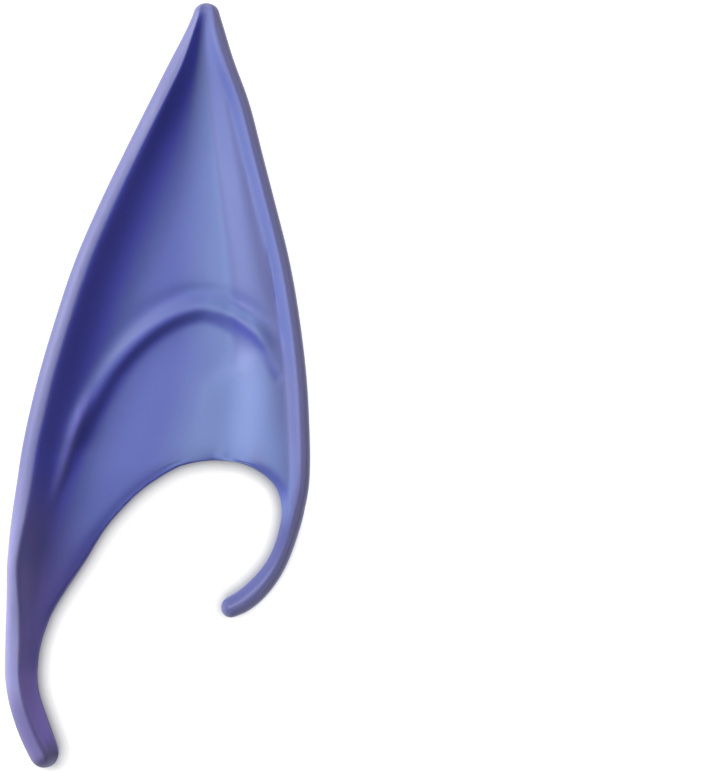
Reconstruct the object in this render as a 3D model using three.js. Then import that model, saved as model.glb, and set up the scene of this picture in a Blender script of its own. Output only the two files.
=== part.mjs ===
import * as THREE from "three";

// Elf ear tip: one hollow skin of slip-cast latex that slides over the top of a wearer's right ear.
// Millimetres, +Z up. It lies on its back: the dished face looks up, the point looks along +Y,
// the long tail runs down at -X and the short front hook curls back at +X.

// Sizes over the whole piece
const earLength = 130; // from the point to the end of the long tail
const earWidth = 52.1; // from the long tail to the front rim
const wall = 1.5; // the latex skin
const pocketDepth = 9.2; // clear depth of the pocket where the ear goes in
const backRise = 5.6; // the back rim over the bottom of the face
const frontRise = 3.3; // the front rim over the bottom of the face
const tipLift = 8.5; // underside of the point over the surface that the piece lies on

// Rims, tails and ends
const rimBead = 3.4; // the rolled rim, across
const rimRadius = 1.1; // how sharply the back rim turns into the face
const beadSide = 1.9; // from the crest of the front rim in to the crease beside it
const cutRoll = 2.4; // how far in from the cut-out the face begins to turn down
const cutDrop = 0.5; // and how far it has turned down at the cut edge, where the skin is thinner
const rimDrop = 1.8; // from the crest of the rim down to its widest line
const tailWidth = 5.4; // the long tail, across
const hookWidth = 3.8; // the front hook, across
const tipRound = 1.95; // length of the rounded end of the point
const tipSolid = 9; // solid latex at the point, before the hollow starts

// Relief of the face
const foldHeight = 1.1; // the curved fold over the face beside it
const foldSpread = 1.5; // width of that fold on its upper side
const foldTop = 0.3; // half the width of its rounded top
const foldSide = 2.8; // from its crest down to the foot of its lower side
const coveDepth = 0.55; // the hollow that runs under the fold
const coveReach = 5; // from the fold's crest to the bottom of that hollow
const hollowDepth = 0.65; // the shallow hollow above the front end of the fold
const hollowSpread = 1.5; // half its width
const hollowAway = 2.2; // from the fold's crest up to the bottom of that hollow

// Shape exponents and shares of a section
const dishBegins = 1.05; // how soon the wall under the back rim gets steep
const dishFalls = 3.2; // and how soon it flattens out towards the bottom of the face
const frontBead = 0.52; // share of frontRise in the rolled rim alone; the face's low swell is the rest
const beadMost = 0.5; // the rolled rim's inner side takes no more than this share of the face
const swellTop = 0.7; // where the swell is highest, as a share of the way from the bottom to the rim
const swellOver = 1.1; // its height there, over that at the rim
const rollPower = 2; // roundness of a tail's section
const crestMost = 0.45; // the crest stands no further in than this share of the section
const dropMost = 0.45; // nor is the rim's drop more than this share of the height
const roundFace = 0.45; // share of the width in which the back of the face rounds under
const roundTail = 0.82; // the same for a tail
const skinThrough = 1.5; // skin thicknesses between a rim's crest and the hollow under it
const leastKept = 0.2; // share of a rim's rise, drop and crest that the hollow always keeps
const reliefInside = 0.65; // share of the face's relief that shows on the inside of the skin

// How finely the skin is divided
const spacing = 1.95; // along the tails and beside the cut-out
const faceSpacing = 2.9; // from the point down to the fold
const foldSpacing = 1; // across the top of the fold
const foldBand = { above: 3, below: 8 }; // where foldSpacing holds, in widths of the fold
const hollowSpacing = 3.6; // along the closed part of the hollow
const endSteps = 5;
const backColumns = { front: 30, rim: 3, under: 6 };
const frontColumns = { front: 15, rim: 3, under: 5 };
const backHollowColumns = { front: 9, rim: 2, under: 5 };
const frontHollowColumns = { front: 6, rim: 2, under: 5 };
const crowding = 1.3; // more columns near the rim than at the bottom of the face

function table(columns, ...rows) {
  return rows.map((row) => Object.fromEntries(columns.map((name, i) => [name, row[i]])));
}

// The face, from the point to the top of the cut-out, a row for each level.
// level is a share of earLength; back, valley and front are shares of earWidth, to the outer edge
// of the back rim, the bottom of the face and the outer edge of the front rim; backUp and frontUp
// are shares of backRise and frontRise; gap is a share of pocketDepth and lift one of tipLift.
// falls is the share of the way to the bottom of the face in which the back of it has come down.
const face = table(
  ["level", "back", "valley", "front", "backUp", "frontUp", "gap", "lift", "falls"],
  [0.485, 0.117, 0.159, 0.204, 0.03, 0.05, 0.16, 0.97, 1],
  [0.464, 0.094, 0.149, 0.221, 0.17, 0.3, 0.16, 0.87, 1],
  [0.425, 0.042, 0.143, 0.25, 0.43, 0.7, 0.22, 0.7, 1],
  [0.373, -0.023, 0.153, 0.299, 0.69, 0.88, 0.39, 0.46, 1],
  [0.308, -0.104, 0.172, 0.341, 0.84, 0.97, 0.6, 0.23, 0.96],
  [0.243, -0.182, 0.188, 0.383, 0.93, 1, 0.78, 0.09, 0.86],
  [0.165, -0.266, 0.205, 0.432, 0.98, 1, 0.91, 0.02, 0.68],
  [0.087, -0.331, 0.218, 0.466, 1, 0.97, 0.98, 0, 0.56],
  [0.009, -0.388, 0.214, 0.489, 1, 0.96, 1, 0, 0.5],
  [-0.057, -0.427, 0.198, 0.498, 0.99, 0.94, 1, 0, 0.475],
  [-0.096, -0.445, 0.182, 0.5, 0.97, 0.91, 1, 0, 0.466],
);

// The back of the face beside the cut-out, a row for each step along its edge. x and y are shares
// of earWidth and earLength to the outer edge, cutX and cutY to the edge of the cut-out. reach is
// the share of earWidth over which the face comes down, and roll says how far the section has
// turned from a dished face into a rolled tail. pinch is what the rolled rim loses of its width.
const backPanel = table(
  ["x", "y", "cutX", "cutY", "reach", "up", "gap", "roll", "pinch"],
  [-0.454, -0.122, 0.084, -0.102, 0.29, 0.95, 1, 0, 0],
  [-0.463, -0.144, 0, -0.12, 0.288, 0.93, 0.99, 0, 0],
  [-0.471, -0.167, -0.068, -0.14, 0.284, 0.91, 0.975, 0, 0.03],
  [-0.479, -0.191, -0.12, -0.161, 0.268, 0.88, 0.957, 0.02, 0.14],
  [-0.484, -0.214, -0.162, -0.18, 0.24, 0.83, 0.935, 0.06, 0.27],
  [-0.489, -0.236, -0.198, -0.201, 0.21, 0.76, 0.89, 0.13, 0.32],
  [-0.49, -0.258, -0.234, -0.226, 0.186, 0.67, 0.82, 0.24, 0.26],
  [-0.492, -0.281, -0.279, -0.253, 0.166, 0.57, 0.75, 0.4, 0.14],
  [-0.494, -0.3, -0.325, -0.281, 0.151, 0.48, 0.68, 0.58, 0.05],
  [-0.497, -0.32, -0.36, -0.307, 0.142, 0.42, 0.61, 0.76, 0],
);

// The long tail: breadth is a share of tailWidth, square to the outer edge.
const longTail = table(
  ["x", "y", "breadth", "up", "gap", "roll"],
  [-0.498, -0.338, 1.08, 0.38, 0.54, 0.9],
  [-0.5, -0.359, 1.03, 0.36, 0.46, 1],
  [-0.5, -0.382, 1, 0.34, 0.39, 1],
  [-0.49, -0.41, 0.98, 0.33, 0.34, 1],
  [-0.474, -0.434, 1, 0.32, 0.3, 1],
  [-0.451, -0.46, 1, 0.31, 0.28, 1],
  [-0.416, -0.489, 0.92, 0.29, 0.26, 1],
);

// The front of the face beside the cut-out, and the hook, in the same columns.
const frontPanel = table(
  ["x", "y", "cutX", "cutY", "reach", "up", "gap", "roll"],
  [0.5, -0.106, 0.24, -0.096, 0.314, 0.88, 1, 0],
  [0.498, -0.117, 0.289, -0.101, 0.302, 0.85, 0.99, 0.02],
  [0.497, -0.127, 0.328, -0.109, 0.284, 0.8, 0.98, 0.08],
  [0.494, -0.137, 0.36, -0.118, 0.26, 0.75, 0.96, 0.2],
  [0.489, -0.148, 0.385, -0.13, 0.23, 0.7, 0.93, 0.4],
  [0.482, -0.159, 0.399, -0.141, 0.19, 0.64, 0.88, 0.62],
);
const hook = table(
  ["x", "y", "breadth", "up", "gap", "roll"],
  [0.476, -0.171, 0.98, 0.6, 0.83, 0.8],
  [0.464, -0.187, 0.93, 0.59, 0.76, 0.92],
  [0.45, -0.205, 0.88, 0.58, 0.68, 1],
  [0.43, -0.226, 0.87, 0.57, 0.6, 1],
  [0.403, -0.248, 0.92, 0.56, 0.52, 1],
  [0.36, -0.272, 1, 0.54, 0.45, 1],
  [0.312, -0.29, 1.02, 0.52, 0.4, 1],
  [0.279, -0.298, 1, 0.5, 0.37, 1],
  [0.25, -0.302, 0.94, 0.48, 0.35, 1],
);

// The crest of the curved fold across the face, from its low back end over to the front rim,
// as shares of earWidth and earLength.
const foldCrest = table(
  ["x", "y"],
  [-0.325, -0.137],
  [-0.28, -0.071],
  [-0.211, -0.018],
  [-0.146, 0.025],
  [-0.062, 0.063],
  [0.026, 0.089],
  [0.101, 0.102],
  [0.159, 0.105],
  [0.237, 0.094],
  [0.296, 0.08],
  [0.348, 0.059],
  [0.387, 0.036],
);

// Where the rim's crest stands, as shares of rimBead in from the outer edge
const crestOnBack = 0.7;
const crestOnFront = 0.44;
const crestOnTail = 0.66;
const crestOnHook = 0.5;

// How round the tail and the hook are on top: 0 is dished like the face, 1 is a full round
const tailRound = 0.35;
const hookRound = 1;

// Shares of the fold's length: it grows out of the face up to foldFull and sinks into the front rim
// from foldFades on; the hollow above it begins at hollowBegins and is whole at hollowFull.
const foldFull = 0.22;
const foldFades = 0.88;
const hollowBegins = 0.45;
const hollowFull = 0.75;

const foldStations = 240;
const foldPoints = new THREE.CatmullRomCurve3(
  foldCrest.map(({ x, y }) => new THREE.Vector3(x * earWidth, y * earLength, 0)),
).getSpacedPoints(foldStations);

const bell = (offset, spread) => Math.exp(-((offset / spread) ** 2));

// Place along a line of points that is nearest to x, y, and the distance to it
function nearestOn(points, x, y) {
  const place = new THREE.Vector3(x, y, 0);
  let nearest = 0;
  points.forEach((point, i) => {
    if (place.distanceTo(point) < place.distanceTo(points[nearest])) nearest = i;
  });
  return { nearest, offset: place.sub(points[nearest]) };
}

// Height that the fold, its cove and the hollow above it add to the face at a place.
function reliefAt(x, y) {
  const { nearest, offset } = nearestOn(foldPoints, x, y);
  const before = foldPoints[Math.max(nearest - 1, 0)];
  const after = foldPoints[Math.min(nearest + 1, foldStations)];
  const along = after.clone().sub(before);
  const above = Math.sign(along.cross(offset).z) * offset.length();
  const below = Math.max(-above, 0);
  const share = nearest / foldStations;
  const grows = THREE.MathUtils.smoothstep(share, 0, foldFull);
  const sinks = THREE.MathUtils.smoothstep(share, foldFades, 1);
  const towardsFront = THREE.MathUtils.smoothstep(share, hollowBegins, hollowFull);
  const foldBelow = 1 - THREE.MathUtils.smoothstep(below, foldTop, foldSide);
  const fold = foldHeight * (above > 0 ? bell(above, foldSpread) : foldBelow);
  const cove = coveDepth * ((below / coveReach) * Math.exp(1 - below / coveReach)) ** 2;
  const hollow = hollowDepth * towardsFront * bell(above - hollowAway, hollowSpread);
  return grows * (1 - sinks) * (fold - cove - hollow);
}

// Control rows of one half, in millimetres. Both halves share the rows of the face.
const columns = ["x", "y", "cutX", "cutY", "falls", "reach", "under", "floor", "rise", "crest", "roll"];
const sharedColumns = ["cutX", "cutY", "under", "floor"];

function halfRows(side) {
  const { lerp } = THREE.MathUtils;
  const rows = face.map((row) => ({
    x: row[side.edge] * earWidth,
    y: row.level * earLength,
    cutX: row.valley * earWidth,
    cutY: row.level * earLength,
    falls: side.falls(row),
    reach: side.falls(row) * Math.abs(row[side.edge] - row.valley) * earWidth,
    under: row.lift * tipLift,
    floor: row.lift * tipLift + 2 * wall + row.gap * pocketDepth,
    rise: row[side.up] * side.rise,
    crest: side.crestOnFace * rimBead,
    roll: 0,
  }));
  for (const row of [...side.panel, ...side.tail])
    rows.push({
      x: row.x * earWidth,
      y: row.y * earLength,
      cutX: row.cutX * earWidth,
      cutY: row.cutY * earLength,
      falls: 1,
      reach: row.breadth ? row.breadth * side.tailWidth : row.reach * earWidth,
      under: 0,
      floor: 2 * wall + row.gap * pocketDepth,
      rise: row.up * side.rise,
      crest: lerp(side.crestOnFace, side.crestOnTail, row.roll) * (1 - (row.pinch ?? 0)) * rimBead,
      roll: row.roll,
      breadth: row.breadth * side.tailWidth,
    });
  rows.forEach((row, i) => {
    if (!row.breadth) return;
    const last = rows[i - 1];
    const next = rows[i + 1] ?? row;
    const run = Math.hypot(next.x - last.x, next.y - last.y);
    row.cutX = row.x - (side.turn * (next.y - last.y) * row.breadth) / run;
    row.cutY = row.y + (side.turn * (next.x - last.x) * row.breadth) / run;
  });
  return rows;
}

// A smooth run through the control rows. Above the cut-out both halves are measured down the face,
// so that they meet along the bottom of it; below, each is measured along its own outer edge.
function smoothRun(rows) {
  const topOfCut = face.length - 1;
  const stations = [0];
  for (let i = 1; i < rows.length; i++) {
    const down = rows[i - 1].y - rows[i].y;
    const step = i <= topOfCut ? down : Math.hypot(rows[i].x - rows[i - 1].x, down);
    stations.push(stations[i - 1] + step);
  }
  const slope = (name, a, b) => (rows[b][name] - rows[a][name]) / (stations[b] - stations[a]);
  function tangent(name, i, below) {
    const corner = i === topOfCut && sharedColumns.includes(name);
    const a = i === 0 || (corner && below) ? i : i - 1;
    const b = i === rows.length - 1 || (corner && !below) ? i : i + 1;
    return slope(name, a, b);
  }
  function at(place) {
    let i = 1;
    while (i < rows.length - 1 && place > stations[i]) i++;
    const length = stations[i] - stations[i - 1];
    const t = THREE.MathUtils.clamp((place - stations[i - 1]) / length, 0, 1);
    const row = {};
    for (const name of columns) {
      const start = rows[i - 1][name];
      const end = rows[i][name];
      const leave = tangent(name, i - 1, true) * length;
      const arrive = tangent(name, i, false) * length;
      row[name] =
        start +
        t * leave +
        t * t * (3 * (end - start) - 2 * leave - arrive) +
        t * t * t * (leave + arrive - 2 * (end - start));
    }
    if (place <= stations[topOfCut]) row.reach = Math.min(row.falls, 1) * Math.abs(row.x - row.cutX);
    row.under = Math.max(row.under, 0); // nothing dips under the surface that the piece lies on
    return row;
  }
  return { at, start: rows[0].y, topOfCut: stations[topOfCut], end: stations.at(-1) };
}

// Share of the rim's rise that the face still has at a distance in from the crest of the back rim
function backFace(distance, toBottom) {
  const softened = (length) => Math.hypot(length, rimRadius) - rimRadius;
  const share = Math.min(softened(distance) / softened(toBottom), 1);
  return (1 - share ** dishBegins) ** dishFalls;
}

// The same for the front: a low swell of the face, and the rolled rim on it, which only the outside has
function frontFace(distance, toBottom, inset) {
  const { smoothstep, smootherstep, lerp } = THREE.MathUtils;
  const share = 1 - Math.min(distance / toBottom, 1);
  const rising = swellOver * smootherstep(share, 0, swellTop);
  const swell = share < swellTop ? rising : lerp(swellOver, 1, smoothstep(share, swellTop, 1));
  if (inset) return swell;
  const side = Math.min(beadSide, beadMost * toBottom);
  const bead = Math.cos((Math.PI / 2) * Math.min(distance / side, 1));
  return lerp(swell, bead, frontBead);
}

// How far the outside has turned down towards the edge of the cut-out
function turnDown(cutEdge, x, y) {
  const away = nearestOn(cutEdge, x, y).offset.length();
  return cutDrop * Math.max(1 - away / cutRoll, 0) ** 2;
}

// One section of the skin, from the bottom of the face or the cut edge, over the rim and under the
// back. inset is 0 for the outside and the wall for the hollow.
function section(row, side, steps, inset) {
  const { lerp } = THREE.MathUtils;
  const cut = new THREE.Vector2(row.cutX, row.cutY);
  const toEdge = new THREE.Vector2(row.x, row.y).sub(cut);
  const breadth = toEdge.length() - inset;
  toEdge.normalize();
  const kept = (size, skin = skinThrough * inset) => Math.max(size - skin, leastKept * size);
  const rise = kept(row.rise);
  const floor = row.floor - inset;
  const under = row.under + inset;
  const crest = Math.min(kept(row.crest, inset), crestMost * breadth);
  const height = floor + rise - under;
  const drop = Math.min(kept(rimDrop), dropMost * height);
  const wide = floor + rise - drop;
  const reach = row.reach - inset;
  const turnIn = Math.min(lerp(roundFace * reach, roundTail * breadth, row.roll), breadth);
  const toCut = breadth - crest;
  const toBottom = reach - crest;
  const points = [];
  function add(distance, z, onFace = false) {
    const x = cut.x + toEdge.x * (breadth - distance);
    const y = cut.y + toEdge.y * (breadth - distance);
    const point = new THREE.Vector3(x, y, z);
    if (onFace) point.z += (inset ? reliefInside : 1) * (1 - row.roll) * reliefAt(x, y);
    if (onFace && !inset) point.z -= turnDown(side.cutEdge, x, y);
    points.push(point);
  }
  for (let i = 0; i <= steps.front; i++) {
    const share = (1 - i / steps.front) ** crowding;
    const dished = side.face(share * toCut, toBottom, inset);
    const rolled = 1 - share ** rollPower;
    add(crest + share * toCut, floor + rise * lerp(dished, rolled, row.roll * side.round), true);
  }
  for (let i = 1; i <= steps.rim; i++) {
    const angle = (Math.PI / 2) * (i / steps.rim);
    add(crest * (1 - Math.sin(angle)), wide + drop * Math.cos(angle));
  }
  const roundSteps = steps.under - 1;
  for (let i = 1; i <= roundSteps; i++) {
    const angle = (Math.PI / 2) * (i / roundSteps);
    add(turnIn * (1 - Math.cos(angle)), wide - (wide - under) * Math.sin(angle));
  }
  add(breadth, under);
  return points;
}

// A rounded end: the section shrinks to a point while it moves on by the given length.
function roundedEnd(base, heading, length, steps) {
  const rows = [];
  for (let i = 1; i <= steps; i++) {
    const angle = (Math.PI / 2) * (i / steps);
    const keep = i === steps ? 0 : Math.cos(angle);
    const centre = heading.clone().multiplyScalar(length * Math.sin(angle)).add(base.centre);
    rows.push(base.points.map((p) => p.clone().sub(base.centre).multiplyScalar(keep).add(centre)));
  }
  return rows;
}

function places(from, to, gap) {
  const count = Math.max(2, Math.round((to - from) / gap));
  return Array.from({ length: count + 1 }, (_, i) => from + ((to - from) * i) / count);
}

// Places down the closed part of the outside, closer together across the top of the fold
function facePlaces(run) {
  const topOfFold = run.start - Math.max(...foldPoints.map((point) => point.y));
  const foldBegins = topOfFold - foldBand.above * foldSpread;
  const foldEnds = topOfFold + foldBand.below * foldSpread;
  return [
    ...places(0, foldBegins, faceSpacing),
    ...places(foldBegins, foldEnds, foldSpacing).slice(1),
    ...places(foldEnds, run.topOfCut, spacing).slice(1),
  ];
}

// The rows of points of one half, outside or in the hollow, from the point to the tail's end.
function skinRows(side, steps, inset) {
  const run = smoothRun(halfRows(side));
  const start = inset ? tipSolid - tipRound : 0;
  const above = inset ? places(start, run.topOfCut, hollowSpacing) : facePlaces(run);
  const below = places(run.topOfCut, run.end, spacing).slice(1);
  const at = (place) => section(run.at(place), side, steps, inset);
  const first = run.at(start);
  const tip = {
    points: at(start),
    centre: new THREE.Vector3(first.cutX, first.cutY, (first.floor + first.under) / 2),
  };
  const last = run.at(run.end);
  const middle = [last.x + last.cutX, last.y + last.cutY, last.floor + last.under].map((sum) => sum / 2);
  const tailEnd = { points: at(run.end), centre: new THREE.Vector3(...middle) };
  const half = Math.hypot(last.x - last.cutX, last.y - last.cutY) / 2;
  const before = run.at(run.end - half);
  const heading = new THREE.Vector3(last.x - before.x, last.y - before.y, 0).normalize();
  const pointEnd = roundedEnd(tip, new THREE.Vector3(0, 1, 0), tipRound, endSteps).reverse();
  return {
    closed: [...pointEnd, ...above.map(at)],
    open: [...below.map(at), ...roundedEnd(tailEnd, heading, half - inset, endSteps)],
  };
}

// Triangles of the whole skin, with points that coincide joined
const vertices = [];
const triangles = [];
const known = new Map();
const weld = 1e-4;

function vertexAt(point) {
  const key = point.toArray().map((v) => Math.round(v / weld)).join(",");
  if (!known.has(key)) {
    known.set(key, vertices.length / 3);
    vertices.push(...point.toArray());
  }
  return known.get(key);
}

function addTriangle(a, b, c) {
  const corners = [a, b, c].map(vertexAt);
  if (new Set(corners).size === 3) triangles.push(...corners);
}

// A four-sided patch, split along its shorter diagonal
function addPatch(corners, flipped) {
  const [a, b, c, d] = flipped ? [...corners].reverse() : corners;
  if (a.distanceTo(c) <= b.distanceTo(d)) {
    addTriangle(a, b, c);
    addTriangle(a, c, d);
  } else {
    addTriangle(a, b, d);
    addTriangle(b, c, d);
  }
}

function addSheet(rows, flipped) {
  for (let i = 1; i < rows.length; i++)
    for (let j = 1; j < rows[i].length; j++)
      addPatch([rows[i - 1][j - 1], rows[i - 1][j], rows[i][j], rows[i][j - 1]], flipped);
}

// The cut edge, between the outside and the hollow, along the face and along the back
function addCutEdge(outside, hollow, flipped) {
  for (let i = 1; i < outside.length; i++) {
    addPatch([outside[i - 1][0], outside[i][0], hollow[i][0], hollow[i - 1][0]], flipped);
    addPatch([outside[i].at(-1), outside[i - 1].at(-1), hollow[i - 1].at(-1), hollow[i].at(-1)], flipped);
  }
}

const backHalf = {
  edge: "back",
  up: "backUp",
  rise: backRise,
  panel: backPanel,
  tail: longTail,
  tailWidth,
  crestOnFace: crestOnBack,
  crestOnTail,
  falls: (row) => row.falls,
  face: backFace,
  round: tailRound,
  turn: 1,
};
const frontHalf = {
  edge: "front",
  up: "frontUp",
  rise: frontRise,
  panel: frontPanel,
  tail: hook,
  tailWidth: hookWidth,
  crestOnFace: crestOnFront,
  crestOnTail: crestOnHook,
  falls: () => 1,
  face: frontFace,
  round: hookRound,
  turn: -1,
};

for (const side of [backHalf, frontHalf]) {
  const run = smoothRun(halfRows(side));
  side.cutEdge = places(run.topOfCut, run.end, foldSpacing).map((place) => {
    const row = run.at(place);
    return new THREE.Vector3(row.cutX, row.cutY, 0);
  });
}

for (const [side, steps, hollowSteps] of [
  [backHalf, backColumns, backHollowColumns],
  [frontHalf, frontColumns, frontHollowColumns],
]) {
  const outside = skinRows(side, steps, 0);
  const hollow = skinRows(side, hollowSteps, wall);
  const flipped = side.turn < 0;
  addSheet([...outside.closed, ...outside.open], flipped);
  addSheet([...hollow.closed, ...hollow.open], !flipped);
  addCutEdge([outside.closed.at(-1), ...outside.open], [hollow.closed.at(-1), ...hollow.open], flipped);
}

const skin = new THREE.BufferGeometry();
skin.setAttribute("position", new THREE.Float32BufferAttribute(vertices, 3));
skin.setIndex(triangles);
skin.computeVertexNormals();

const latex = new THREE.MeshStandardMaterial({ color: 0x7c80c8, roughness: 0.55, metalness: 0 });
const earTip = new THREE.Mesh(skin, latex);
earTip.name = "ear_tip";

const part = new THREE.Group();
part.add(earTip);

export default part;
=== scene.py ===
# %% [markdown]
# # Elf ear tip in slip-cast latex
#
# The object is one hollow skin of rubber that slides over the top of an ear. It is cast by pouring
# liquid latex into a plaster mould, so it has no stitches, screws or trim: all of its looks come
# from one soft, continuous surface. This lesson takes the solid from the CAD model as the frame,
# turns a copy of it into a smooth skin, refines that skin as a sculptor would, and then builds the
# satin blue-violet finish from nodes.
#
# The frame comes first. It says how big the piece is and where it lies, and nothing that follows
# may change that.

# %% Load the frame
import math

import bpy
import numpy as np
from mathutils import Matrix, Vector
from mathutils.bvhtree import BVHTree


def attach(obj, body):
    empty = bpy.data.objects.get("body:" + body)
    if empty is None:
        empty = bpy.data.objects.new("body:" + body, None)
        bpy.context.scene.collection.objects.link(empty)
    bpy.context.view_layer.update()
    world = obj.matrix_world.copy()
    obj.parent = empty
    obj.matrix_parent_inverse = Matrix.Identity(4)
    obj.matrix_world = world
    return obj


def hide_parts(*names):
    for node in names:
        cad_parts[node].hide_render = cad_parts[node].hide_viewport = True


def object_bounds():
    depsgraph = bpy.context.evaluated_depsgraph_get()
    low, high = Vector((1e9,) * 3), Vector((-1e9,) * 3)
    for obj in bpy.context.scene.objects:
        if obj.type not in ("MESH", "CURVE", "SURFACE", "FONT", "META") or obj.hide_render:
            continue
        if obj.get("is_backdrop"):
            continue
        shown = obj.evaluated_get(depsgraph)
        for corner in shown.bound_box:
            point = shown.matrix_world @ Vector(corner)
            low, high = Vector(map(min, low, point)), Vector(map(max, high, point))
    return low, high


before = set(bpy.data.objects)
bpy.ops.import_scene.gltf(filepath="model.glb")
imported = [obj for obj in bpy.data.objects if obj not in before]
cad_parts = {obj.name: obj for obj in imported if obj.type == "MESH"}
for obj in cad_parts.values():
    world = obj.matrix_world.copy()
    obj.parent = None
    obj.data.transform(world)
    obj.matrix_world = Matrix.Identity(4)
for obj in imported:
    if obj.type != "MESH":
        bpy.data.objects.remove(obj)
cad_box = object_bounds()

MM = 0.001
cad_low, cad_high = cad_box
ear_width = cad_high.x - cad_low.x
ear_length = cad_high.y - cad_low.y
ear_height = cad_high.z - cad_low.z
print(f"frame: {ear_width / MM:.1f} x {ear_length / MM:.1f} x {ear_height / MM:.1f} mm")

# %% [markdown]
# ## The camera
#
# The photograph looks straight down at the tip as it lies on its back. A long lens far away keeps
# the sides from leaning, as a product photographer would do it. The picture is wider than the tip
# and shows it in its left half, so the camera stands over the middle of the picture and not over
# the middle of the tip. A pixel's real size comes from the tip's own length.

# %% Place the camera over the middle of the picture
PICTURE_WIDTH = 721
PICTURE_HEIGHT = 779
EAR_PIXELS = 767.5  # the tip's length in the picture
EAR_MIDDLE = (157.0, 386.5)  # the middle of the tip in the picture, from its top left corner
LENS = 400  # millimetres
SENSOR = 36  # millimetres, along the picture's long side
RIM_HEIGHT = 12 * MM  # the outline is drawn at about this height over the floor

pixel = ear_length / EAR_PIXELS
camera_x = (PICTURE_WIDTH / 2 - EAR_MIDDLE[0]) * pixel
camera_y = (EAR_MIDDLE[1] - PICTURE_HEIGHT / 2) * pixel
camera_z = PICTURE_HEIGHT * pixel * LENS / SENSOR + RIM_HEIGHT
bpy.ops.object.camera_add(location=(camera_x, camera_y, camera_z), rotation=(0, 0, 0))
camera = bpy.context.object
camera.name = "camera"
camera.data.lens = LENS
camera.data.sensor_width = SENSOR
camera.data.clip_end = 10
bpy.context.scene.camera = camera
print(f"camera {camera_z:.3f} m up, a pixel is {pixel / MM:.4f} mm")

# %% [markdown]
# ## From a faceted solid to a skin
#
# The CAD solid is a shell of flat triangles, each loose from its neighbours. A skin has to be one
# connected sheet, so a copy is merged, and pairs of triangles are joined into quads, which bend
# smoothly when they are subdivided. Where the wearer's side is cut open, the latex has a trimmed
# edge as thick as the skin: its corners get a half crease, so that they come out rounded but not
# blown up.

# %% Merge a copy of the solid into quads
MERGE = 0.001 * MM
PAIRING = math.radians(60)
CORNER = math.radians(50)
EDGE_CREASE = 0.35


def deselect():
    bpy.ops.object.select_all(action="DESELECT")


def make_active(piece):
    deselect()
    piece.select_set(True)
    bpy.context.view_layer.objects.active = piece


skin = bpy.data.objects.new("ear_tip_skin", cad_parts["ear_tip"].data.copy())
bpy.context.scene.collection.objects.link(skin)
skin.data.materials.clear()
make_active(skin)
bpy.ops.object.mode_set(mode="EDIT")
bpy.ops.mesh.select_all(action="SELECT")
bpy.ops.mesh.customdata_custom_splitnormals_clear()
bpy.ops.mesh.remove_doubles(threshold=MERGE)
bpy.ops.mesh.tris_convert_to_quads(face_threshold=PAIRING, shape_threshold=PAIRING)
bpy.ops.mesh.select_all(action="DESELECT")
bpy.ops.mesh.edges_select_sharp(sharpness=CORNER)
bpy.ops.transform.edge_crease(value=EDGE_CREASE)
bpy.ops.object.mode_set(mode="OBJECT")
quads = sum(len(face.vertices) == 4 for face in skin.data.polygons)
print(f"skin: {len(skin.data.vertices)} points, {quads} quads of {len(skin.data.polygons)} faces")

# %% [markdown]
# ## Reading the shape
#
# The colours follow the shape: the raised rims are paler, partly as wear and partly as a painted
# highlight, and the deep places are darker, as painted shade. To do this with nodes, the script
# measures the shape once and keeps what it finds as attributes of the mesh. How closed in a place
# is comes from rays that are sent out of it: the more of them hit the tip itself, the deeper the
# place lies. The merged copy is fine enough for that, and the subdivision that follows blends the
# values.

# %% Measure how closed in each place is
RAYS = 48
REACH = 25 * MM  # what lies farther off closes nothing in
START = 0.02 * MM  # the rays start this far over the surface, so that they don't meet it
GOLDEN_ANGLE = math.pi * (3 - math.sqrt(5))
CLOSED_BLUR = 2  # rounds of blur


def mesh_arrays(mesh):
    places = np.zeros(len(mesh.vertices) * 3)
    mesh.vertices.foreach_get("co", places)
    normals = np.zeros(len(mesh.vertices) * 3)
    mesh.vertices.foreach_get("normal", normals)
    edges = np.zeros(len(mesh.edges) * 2, dtype=np.int64)
    mesh.edges.foreach_get("vertices", edges)
    return places.reshape(-1, 3), normals.reshape(-1, 3), edges.reshape(-1, 2)


def neighbour_mean(values, edges):
    """The mean of each point's neighbours, for numbers or for places."""
    count = len(values)
    first, second = edges[:, 0], edges[:, 1]
    degree = np.bincount(edges.ravel(), minlength=count)
    flat = values.reshape(count, -1)
    total = np.empty_like(flat)
    for column in range(flat.shape[1]):
        total[:, column] = np.bincount(first, flat[second, column], count)
        total[:, column] += np.bincount(second, flat[first, column], count)
    return (total / degree[:, None]).reshape(values.shape)


def blurred(values, edges, times):
    """Each round takes every point half of the way to the mean of its neighbours."""
    for _ in range(times):
        values = 0.5 * values + 0.5 * neighbour_mean(values, edges)
    return values


def keep_attribute(mesh, name, values):
    attribute = mesh.attributes.new(name, "FLOAT", "POINT")
    attribute.data.foreach_set("value", values.astype(np.float32))


def closed_in(mesh):
    """The share of rays over each point that meet the mesh again."""
    places, normals, edges = mesh_arrays(mesh)
    tree = BVHTree.FromPolygons(
        [tuple(place) for place in places],
        [tuple(face.vertices) for face in mesh.polygons],
    )
    closed = np.zeros(len(places))
    for index in range(len(places)):
        normal = Vector(normals[index])
        across = normal.orthogonal().normalized()
        along = normal.cross(across)
        origin = Vector(places[index]) + normal * START
        for ray in range(RAYS):
            height = (ray + 0.5) / RAYS
            low = math.sqrt(1 - height * height)
            turn = ray * GOLDEN_ANGLE
            aside = across * math.cos(turn) + along * math.sin(turn)
            hit = tree.ray_cast(origin, normal * height + aside * low, REACH)[0]
            closed[index] += hit is not None
    return blurred(closed / RAYS, edges, CLOSED_BLUR)


closed = closed_in(skin.data)
keep_attribute(skin.data, "closed", closed)
print(f"closed in on average {closed.mean():.3f}")

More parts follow.
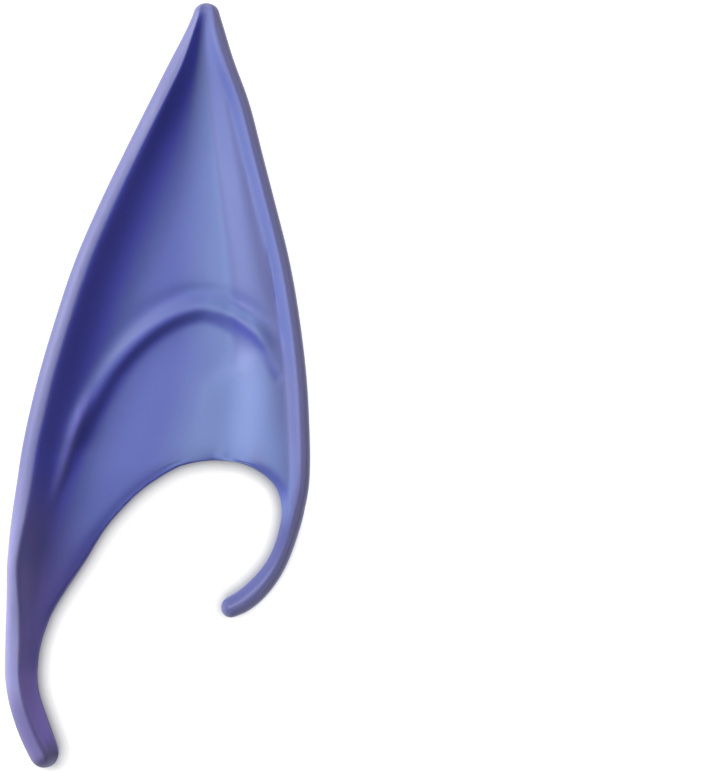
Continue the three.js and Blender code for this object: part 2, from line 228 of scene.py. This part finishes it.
# %% [markdown]
# ## A smoother skin
#
# Subdivision rounds off what is left of the facets, as fine sandpaper does with the plaster model
# that the mould is taken from. Two levels are plenty for a thing 13 cm long, and more would only
# make the file heavier.

# %% Subdivide it
SMOOTH_LEVELS = 2

subdivision = skin.modifiers.new("smooth latex", "SUBSURF")
subdivision.levels = SMOOTH_LEVELS
subdivision.render_levels = SMOOTH_LEVELS
bpy.ops.object.modifier_apply(modifier=subdivision.name)
bpy.ops.object.shade_smooth()
triangles = sum(len(face.vertices) - 2 for face in skin.data.polygons)
print(f"subdivided: {len(skin.data.vertices)} points, {triangles} triangles")

# %% [markdown]
# ## Strokes of a modelling tool
#
# Two fine lines of the face are left to draw. On the plaster model they are strokes of a modelling
# tool with a soft tip. Here the points near a drawn line are moved in or out, the nearer the
# farther, as a crease brush does it, and how much of the stroke each point got is kept as well.

# %% A stroke along a line
STROKE_BLUR = 2
FACE_HEIGHT = 9 * MM  # the face lies over this height, the back wall under it


def ease(values, low, high):
    """0 below low, 1 above high, and smooth between them."""
    share = np.clip((values - low) / (high - low), 0, 1)
    return share * share * (3 - 2 * share)


def line_distance(flat_places, line):
    """How far each place is from a line of points, seen from above."""
    nearest = np.full(len(flat_places), np.inf)
    for start, end in zip(line[:-1], line[1:]):
        run = end - start
        share = np.clip((flat_places - start) @ run / (run @ run), 0, 1)
        gap = np.linalg.norm(flat_places - start - share[:, None] * run, axis=1)
        nearest = np.minimum(nearest, gap)
    return nearest


def stroke(name, line, width, height, allowed):
    """Raises the skin along a line, as far as allowed says, and keeps the shares as name."""
    places, normals, edges = mesh_arrays(skin.data)
    near = 1 - ease(line_distance(places[:, :2], line), 0, width)
    share = blurred(allowed(places, normals) * near, edges, STROKE_BLUR)
    places = places + normals * (share * height)[:, None]
    skin.data.vertices.foreach_set("co", places.ravel())
    skin.data.update()
    keep_attribute(skin.data, name, share)
    print(f"{name}: {(share > 0.1).sum()} points, {height / MM:.1f} mm")


# %% [markdown]
# ## The crease under the fold
#
# Towards the front rim the curved fold leaves a shallow crease below it. It is pressed in where
# the face looks up, and fades in along its first points, where the fold itself casts the shade.

# %% Press the crease in
CREASE_LINE = np.array(
    [  # across, up
        (9.0, 12.0),
        (11.0, 11.9),
        (12.6, 11.0),
        (14.2, 9.6),
        (16.1, 7.9),
        (17.8, 5.8),
        (19.4, 3.4),
        (20.4, 1.6),
    ]
) * MM
CREASE_WIDTH = 1.3 * MM
CREASE_DEPTH = 0.2 * MM
FACE_UP = (0.2, 0.5)  # how far the face looks up, at the least and in full


def under_fold(places, normals):
    on_face = ease(normals[:, 2], *FACE_UP) * (places[:, 2] > FACE_HEIGHT)
    return on_face * ease(places[:, 0], CREASE_LINE[0, 0], CREASE_LINE[2, 0])


stroke("creased", CREASE_LINE, CREASE_WIDTH, -CREASE_DEPTH, under_fold)

# %% [markdown]
# ## The end of the fold
#
# At the back rim the fold thins out into a faint ridge that runs down towards the tail. It is too
# fine for the solid's facets, so it is drawn on as well. It stands out and fades at both ends.

# %% Raise the end of the fold
RIDGE_LINE = np.array(
    [  # across, up
        (-11.4, -0.6),
        (-12.8, -4.2),
        (-14.4, -9.1),
        (-16.2, -14.6),
        (-17.6, -19.0),
        (-18.6, -22.4),
    ]
) * MM
RIDGE_WIDTH = 1.5 * MM
RIDGE_HEIGHT = 0.3 * MM
LOWER_FADE = (-22 * MM, -15 * MM)  # where the ridge begins and is full, upwards
UPPER_FADE = (1 * MM, -5 * MM)  # and downwards


def along_ridge(places, normals):
    on_face = (normals[:, 2] > 0) * (places[:, 2] > FACE_HEIGHT)
    ends = ease(places[:, 1], *LOWER_FADE) * ease(places[:, 1], *UPPER_FADE)
    return on_face * ends


stroke("ridge", RIDGE_LINE, RIDGE_WIDTH, RIDGE_HEIGHT, along_ridge)

# %% [markdown]
# ## The hollows
#
# The creases and hollows are painted darker, as painted shade. To find them, each point is compared
# with the mean of its neighbours: where that mean lies above the surface, the place is hollow. That
# is the curvature, and a blur takes out the traces of the facets.

# %% Measure the hollows
CREASE_CURVE = 0.5 / MM  # curvature of a fully marked crease
CURVE_BLUR = 10
MASK_BLUR = 4

places, normals, edges = mesh_arrays(skin.data)
lengths = np.linalg.norm(places[edges[:, 0]] - places[edges[:, 1]], axis=1)
squares = np.zeros(len(places))
degree = np.bincount(edges.ravel(), minlength=len(places))
for side in (0, 1):
    squares += np.bincount(edges[:, side], lengths**2, len(places))
squares /= degree
lift = ((places - neighbour_mean(places, edges)) * normals).sum(1)
curvature = blurred(2 * lift / squares, edges, CURVE_BLUR)
hollow = np.clip(-curvature / CREASE_CURVE, 0, 1)
keep_attribute(skin.data, "hollow", hollow)
print(f"hollow share {hollow.mean():.3f}")

# %% [markdown]
# ## The pale rims
#
# The rims are paler: partly from wear, as they are the first thing that fingers and other pieces
# in the box touch, and partly as a painted highlight where the light catches them. They are the
# only places of the face that see the whole sky, so they are found by how closed in a place is.
# The flanks see it too, and there the pale colour fades out as they get steeper.

# %% Mark the rims
OPEN_SKY = 0.005  # this closed in or less, a place is the top of a rim
SHELTERED = 0.05
FLANK_UP = (-0.25, 0.25)  # how far a rim's side looks up, where the pale colour begins and is full

fine_closed = np.zeros(len(places), dtype=np.float32)
skin.data.attributes["closed"].data.foreach_get("value", fine_closed)
# pale rims: partly wear, partly a painted highlight where the light catches them
rim_wear_and_highlight = (1 - ease(fine_closed, OPEN_SKY, SHELTERED)) * ease(normals[:, 2], *FLANK_UP)
rim_wear_and_highlight = blurred(rim_wear_and_highlight, edges, MASK_BLUR)
keep_attribute(skin.data, "rim_wear_and_highlight", rim_wear_and_highlight)
print(f"rubbed share {rim_wear_and_highlight.mean():.3f}")

# %% [markdown]
# ## The shaded wall
#
# The steep wall under the back rim leans away from the key light and lies in the back rim's
# shadow. It is painted a deeper blue, as painted shade, which makes the face look deeper than it
# is. The mask takes what leans towards the front rim's side, and a blur gives it a soft edge. What
# leans the same way on a rim is its shaded flank, which is painted paler, as painted light.

# %% Mark the wall
TOWARDS_FRONT = np.array((0.95, -0.3, 0.0))
WALL_LEAN = (0.12, 0.5)  # how far the surface leans towards the front, at the least and in full
LOOKS_UP = (0.1, 0.35)
SHADE_BLUR = 12

leans = normals @ TOWARDS_FRONT
looks_up = ease(normals[:, 2], *LOOKS_UP)
# painted shade: the wall that leans away from the key light
shaded_wall = ease(leans, *WALL_LEAN) * looks_up * (1 - rim_wear_and_highlight)
keep_attribute(skin.data, "shaded_wall", blurred(shaded_wall, edges, SHADE_BLUR))
# painted light: the shaded flank of a rim is painted pale
keep_attribute(skin.data, "flank_light", ease(leans, *WALL_LEAN) * rim_wear_and_highlight)
print(f"sprayed share {shaded_wall.mean():.3f}")

# %% [markdown]
# ## The slope to the front rim
#
# Over the fold the face climbs to the front rim. This slope faces the key light and is painted a
# dimmer blue than the middle, as painted shade. The inner edge of the hook leans the same way, away
# from the front, and is painted darker still, as painted shade.

# %% Mark the slope and the hook's inner edge
SLOPE_LEAN = (0.06, 0.28)  # how far the surface leans away from the front
UPPER_FACE = (-1 * MM, 9 * MM)  # the slope's colour fades in between these places, upwards
HOOK = (-18 * MM, -26 * MM)  # and between these, downwards

upper = ease(places[:, 1], *UPPER_FACE) * (places[:, 2] > FACE_HEIGHT)
hook = ease(places[:, 1], *HOOK)
leans_away = ease(-leans, *SLOPE_LEAN) * looks_up
# painted shade: the slope that faces the key light is dimmed
slope_shade = leans_away * (1 - rim_wear_and_highlight) * np.maximum(upper, hook)
keep_attribute(skin.data, "slope_shade", blurred(slope_shade, edges, MASK_BLUR))
# painted shade on the hook's inner edge
inner_hook_shade = leans_away * hook * (places[:, 0] > 0)
keep_attribute(skin.data, "inner_hook_shade", blurred(inner_hook_shade, edges, SHADE_BLUR))
print(f"slope share {slope_shade.mean():.3f}, inner hook share {inner_hook_shade.mean():.3f}")

# %% [markdown]
# ## The edge of the cut-out
#
# At the cut-out the face turns down over the ear. This rolled edge is painted darker, as painted
# shade where it looks away from the light. It is found by its normals, which point down the face.

# %% Mark where the face turns down
TURN_LEAN = (0.1, 0.45)

# painted shade on the rolled edge of the cut-out
turned_shade = ease(-normals[:, 1], *TURN_LEAN) * looks_up * (1 - rim_wear_and_highlight)
keep_attribute(skin.data, "turned_shade", blurred(turned_shade, edges, MASK_BLUR))
print(f"turned share {turned_shade.mean():.3f}")

# %% [markdown]
# ## Shader maths as sums
#
# Nodes are easiest to read as the sums that they are. A wire stands for one output socket, and
# adding or multiplying wires makes the Math nodes. Every other node comes from one method.

# %% A small language for nodes


class Wire:
    """An output socket of a material. Sums with it make Math nodes."""

    def __init__(self, finish, socket):
        self.finish = finish
        self.socket = socket

    def math(self, operation, first, second):
        settings = {"operation": operation}
        return self.finish.add("ShaderNodeMath", settings, {0: first, 1: second})

    def __add__(self, other):
        return self.math("ADD", self, other)

    def __sub__(self, other):
        return self.math("SUBTRACT", self, other)

    def __rsub__(self, other):
        return self.math("SUBTRACT", other, self)

    def __mul__(self, other):
        return self.math("MULTIPLY", self, other)

    def __pow__(self, other):
        return self.math("POWER", self, other)

    __radd__ = __add__
    __rmul__ = __mul__


class Finish:
    """One material and the nodes that make it."""

    def __init__(self, name):
        self.material = bpy.data.materials.new(name)
        self.material.use_nodes = True
        self.nodes = self.material.node_tree.nodes
        self.links = self.material.node_tree.links
        self.surface = self.nodes["Principled BSDF"]

    def plug(self, socket, value):
        if isinstance(value, Wire):
            self.links.new(value.socket, socket)
        else:
            socket.default_value = value

    def add(self, kind, settings=None, sockets=None, output=0):
        node = self.nodes.new(kind)
        for name, value in (settings or {}).items():
            setattr(node, name, value)
        for name, value in (sockets or {}).items():
            self.plug(node.inputs[name], value)
        return Wire(self, node.outputs[output])

    def attribute(self, name):
        return self.add("ShaderNodeAttribute", {"attribute_name": name}, output="Fac")

    def place(self):
        return self.add("ShaderNodeTexCoord", output="Object")

    def ease(self, value, low, high):
        """0 below low, 1 above high, and smooth between them."""
        settings = {"interpolation_type": "SMOOTHSTEP"}
        sockets = {"Value": value, "From Min": low, "From Max": high}
        return self.add("ShaderNodeMapRange", settings, sockets)

    def mix(self, share, under, over):
        """Two colours mixed: under at 0, over at 1."""
        settings = {"data_type": "RGBA", "blend_type": "MIX"}
        return self.add("ShaderNodeMix", settings, {0: share, 6: under, 7: over}, output=2)

    def speckle(self, size, detail):
        """Noise with spots about as big as size, in metres."""
        sockets = {"Vector": self.place(), "Scale": 1 / size, "Detail": detail}
        return self.add("ShaderNodeTexNoise", sockets=sockets)

    def show(self, **sockets):
        """Plug values or wires into the surface: Base_Color stands for its socket Base Color."""
        for name, value in sockets.items():
            self.plug(self.surface.inputs[name.replace("_", " ")], value)


# %% [markdown]
# ## The colours of the latex
#
# The latex is dyed a violet that turns to a cleaner blue in the middle of the face, and the
# darker violet towards the back rim is partly painted shade. Painted shade, painted highlights and
# the pale rims lie over it, one thin layer over the other: each line mixes one colour over what is
# there, as far as its mask goes. The tail is the most purple part, and its shaded side gets the
# brightest purple, as painted shade.

# %% The colours and where each of them goes
VIOLET = (0.108, 0.136, 0.42, 1)
BLUE = (0.175, 0.24, 0.51, 1)
MAUVE = (0.13, 0.148, 0.35, 1)
DIM_BLUE = (0.115, 0.145, 0.37, 1)
WALL_SHADE_INDIGO = (0.112, 0.118, 0.62, 1)
LIGHTER_WALL_SHADE = (0.2, 0.19, 0.8, 1)
PLUM = (0.15, 0.13, 0.42, 1)
TAIL_SHADE_PURPLE = (0.27, 0.205, 0.62, 1)
SHADOW_BLUE = (0.07, 0.085, 0.37, 1)
HOOK_SHADE = (0.075, 0.08, 0.24, 1)
RIDGE_HIGHLIGHT = (0.19, 0.185, 0.6, 1)
LAVENDER = (0.148, 0.155, 0.338, 1)
PALE = (0.27, 0.265, 0.51, 1)
DUSK = (0.15, 0.13, 0.32, 1)

CLOUD_SIZE = 18 * MM
CLOUD_DETAIL = 2
GRAIN_SIZE = 1.2 * MM
GRAIN_DETAIL = 4
WANDER = 4 * MM  # how far the borders of the colours wander
DRIFT = 4.5 * MM  # how much farther across the blue begins over the fold than below it

latex = Finish("satin_latex")
across = latex.add("ShaderNodeSeparateXYZ", sockets={"Vector": latex.place()}, output="X")
up = latex.add("ShaderNodeSeparateXYZ", sockets={"Vector": latex.place()}, output="Y")
cloud = latex.speckle(CLOUD_SIZE, CLOUD_DETAIL)
grain = latex.speckle(GRAIN_SIZE, GRAIN_DETAIL)
wander = (cloud - 0.5) * WANDER
drift = latex.ease(up, -12 * MM, 6 * MM) * DRIFT
in_blue = latex.ease(across + wander - drift, -2 * MM, 8 * MM)
by_front_rim = latex.ease(across + wander + up * 0.2, 17 * MM, 22 * MM)
at_point = latex.ease(up, 47 * MM, 60 * MM)
on_tail = latex.ease(up + across, -30 * MM, -60 * MM)
tail_end = latex.ease(up, -49 * MM, -57 * MM)
painted_wall_shade = latex.attribute("shaded_wall")
# painted shade in the hollows
hollow_shade = latex.ease(latex.attribute("hollow"), 0.15, 0.8)
print(f"masks: {len(latex.nodes)} nodes")

# %% Lay the colours on
rim = latex.mix(on_tail, LAVENDER, PALE)
# painted light on the rims' shaded flanks
rim = latex.mix(latex.attribute("flank_light"), rim, PALE)
rim = latex.mix(tail_end * 0.8, rim, DUSK)
# violet towards the back rim: partly dye, partly painted shade
body = latex.mix(in_blue, VIOLET, BLUE)
for share, colour in (
    (by_front_rim, MAUVE),
    # painted shade on the slope up to the front rim
    (latex.attribute("slope_shade"), DIM_BLUE),
    # painted shade on the wall under the back rim
    (painted_wall_shade, WALL_SHADE_INDIGO),
    # lighter painted shade on the wall near the point
    (at_point * painted_wall_shade * 0.5, LIGHTER_WALL_SHADE),
    (on_tail, PLUM),
    # painted shade on the tail's shaded side, a bright purple
    (on_tail * painted_wall_shade, TAIL_SHADE_PURPLE),
    # painted shade on the rolled edge of the cut-out
    (latex.attribute("turned_shade") * 0.75, SHADOW_BLUE),
    # painted shade in the hollows
    (hollow_shade * 0.4, SHADOW_BLUE),
    # painted shade in the pressed crease under the fold
    (latex.attribute("creased") * 0.4, SHADOW_BLUE),
    # painted highlight along the raised ridge
    (latex.attribute("ridge") * 0.8, RIDGE_HIGHLIGHT),
    # pale rims: partly wear, partly painted highlight
    (latex.attribute("rim_wear_and_highlight"), rim),
    # painted shade on the hook's inner edge
    (latex.attribute("inner_hook_shade") * 0.8, HOOK_SHADE),
):
    body = latex.mix(share, body, colour)
print(f"colours: {len(latex.nodes)} nodes")

# %% [markdown]
# ## The gloss and grain of the latex
#
# Slip-cast latex takes the fine grain of the plaster and dries to a soft satin skin, a little
# uneven from place to place. Light goes a little way into rubber, so the shader gets some
# subsurface scattering: without it the piece looks like painted metal.

# %% Gloss and grain of the latex
ROUGHNESS = 0.52
CLOUD_ROUGHNESS = 0.1
GRAIN_ROUGHNESS = 0.08
GRAIN_HEIGHT = 0.02 * MM
GRAIN_STRENGTH = 0.35

relief = latex.add(
    "ShaderNodeBump",
    sockets={"Strength": GRAIN_STRENGTH, "Distance": GRAIN_HEIGHT, "Height": grain + cloud * 0.5},
)
latex.show(
    Base_Color=body,
    Roughness=ROUGHNESS + (cloud - 0.5) * CLOUD_ROUGHNESS + (grain - 0.5) * GRAIN_ROUGHNESS,
    Normal=relief,
    Subsurface_Weight=0.1,
    Subsurface_Radius=(0.5, 0.6, 1.2),
    Subsurface_Scale=0.001,
    Specular_IOR_Level=0.3,
    Coat_Weight=0.05,
    Coat_Roughness=0.35,
)
skin.data.materials.append(latex.material)
print(f"latex: {len(latex.nodes)} nodes")

# %% [markdown]
# ## The floor
#
# The ground is white with no cast shadow, and has only a narrow dark line where the tip touches
# it. A light table looks like that. So the floor glows by itself, and a painted contact shadow
# darkens the glow where the tip is near: an ambient occlusion node measures that.

# %% Floor
FLOOR_SIZE = 3
CONTACT = 2.3 * MM  # the shadow under the edges reaches this far
CONTACT_FALL = 2.8
CONTACT_SHADOW_COLOUR = (0.15, 0.15, 0.17, 1)
GLOW = 0.97

deselect()
bpy.ops.mesh.primitive_plane_add(size=FLOOR_SIZE, location=(0, 0, 0))
floor = bpy.context.object
floor.name = "floor"
paper = Finish("white_paper")
occlusion = {"Distance": CONTACT}
# painted contact shadow: the glow darkens where the tip is near
contact = paper.add("ShaderNodeAmbientOcclusion", {"samples": 8}, occlusion, output="AO")
glow = paper.mix(contact ** CONTACT_FALL, CONTACT_SHADOW_COLOUR, (1, 1, 1, 1))
paper.show(
    Base_Color=(0.2, 0.2, 0.2, 1), Roughness=0.9, Emission_Color=glow, Emission_Strength=GLOW
)
floor.data.materials.append(paper.material)
floor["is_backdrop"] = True
print(f"floor: {FLOOR_SIZE} m wide, contact shadow {CONTACT / MM:.1f} mm")

# %% [markdown]
# ## The light
#
# The light is a big soft box from the upper left, about 36 degrees high: low enough for the back
# rim to throw its shadow over the face, and soft enough to blur its end. A weak one overhead and
# a dim sky keep the shaded wall from going black.

# %% Lights


def softbox(name, place, size, watts):
    """A square soft light that looks at the middle of the tip."""
    towards = Vector((0, 0, ear_height / 2)) - Vector(place)
    bpy.ops.object.light_add(
        type="AREA", location=place, rotation=towards.to_track_quat("-Z", "Y").to_euler()
    )
    light = bpy.context.object
    light.name = name
    light.data.shape = "SQUARE"
    light.data.size = size
    light.data.energy = watts
    print(f"{name}: {watts} W, {towards.length:.2f} m away")


softbox("key_light", (-0.60, 0.28, 0.48), 0.45, 10.8)
softbox("top_light", (0.0, 0.25, 0.9), 0.5, 1.2)

SKY_COLOUR = (0.93, 0.95, 1, 1)
SKY_STRENGTH = 0.10

world = bpy.data.worlds.new("studio")
world.use_nodes = True
sky = world.node_tree.nodes["Background"]
sky.inputs["Color"].default_value = SKY_COLOUR
sky.inputs["Strength"].default_value = SKY_STRENGTH
bpy.context.scene.world = world
bpy.context.scene.view_settings.view_transform = "Standard"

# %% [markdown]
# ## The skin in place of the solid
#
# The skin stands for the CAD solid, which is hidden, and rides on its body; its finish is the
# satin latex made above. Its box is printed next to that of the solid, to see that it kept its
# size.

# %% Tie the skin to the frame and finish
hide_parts("ear_tip")
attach(skin, "root")

shown_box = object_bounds()
for name, (low, high) in (("cad", cad_box), ("visual", shown_box)):
    print(name, [round(value / MM, 2) for value in (*low, *high)])
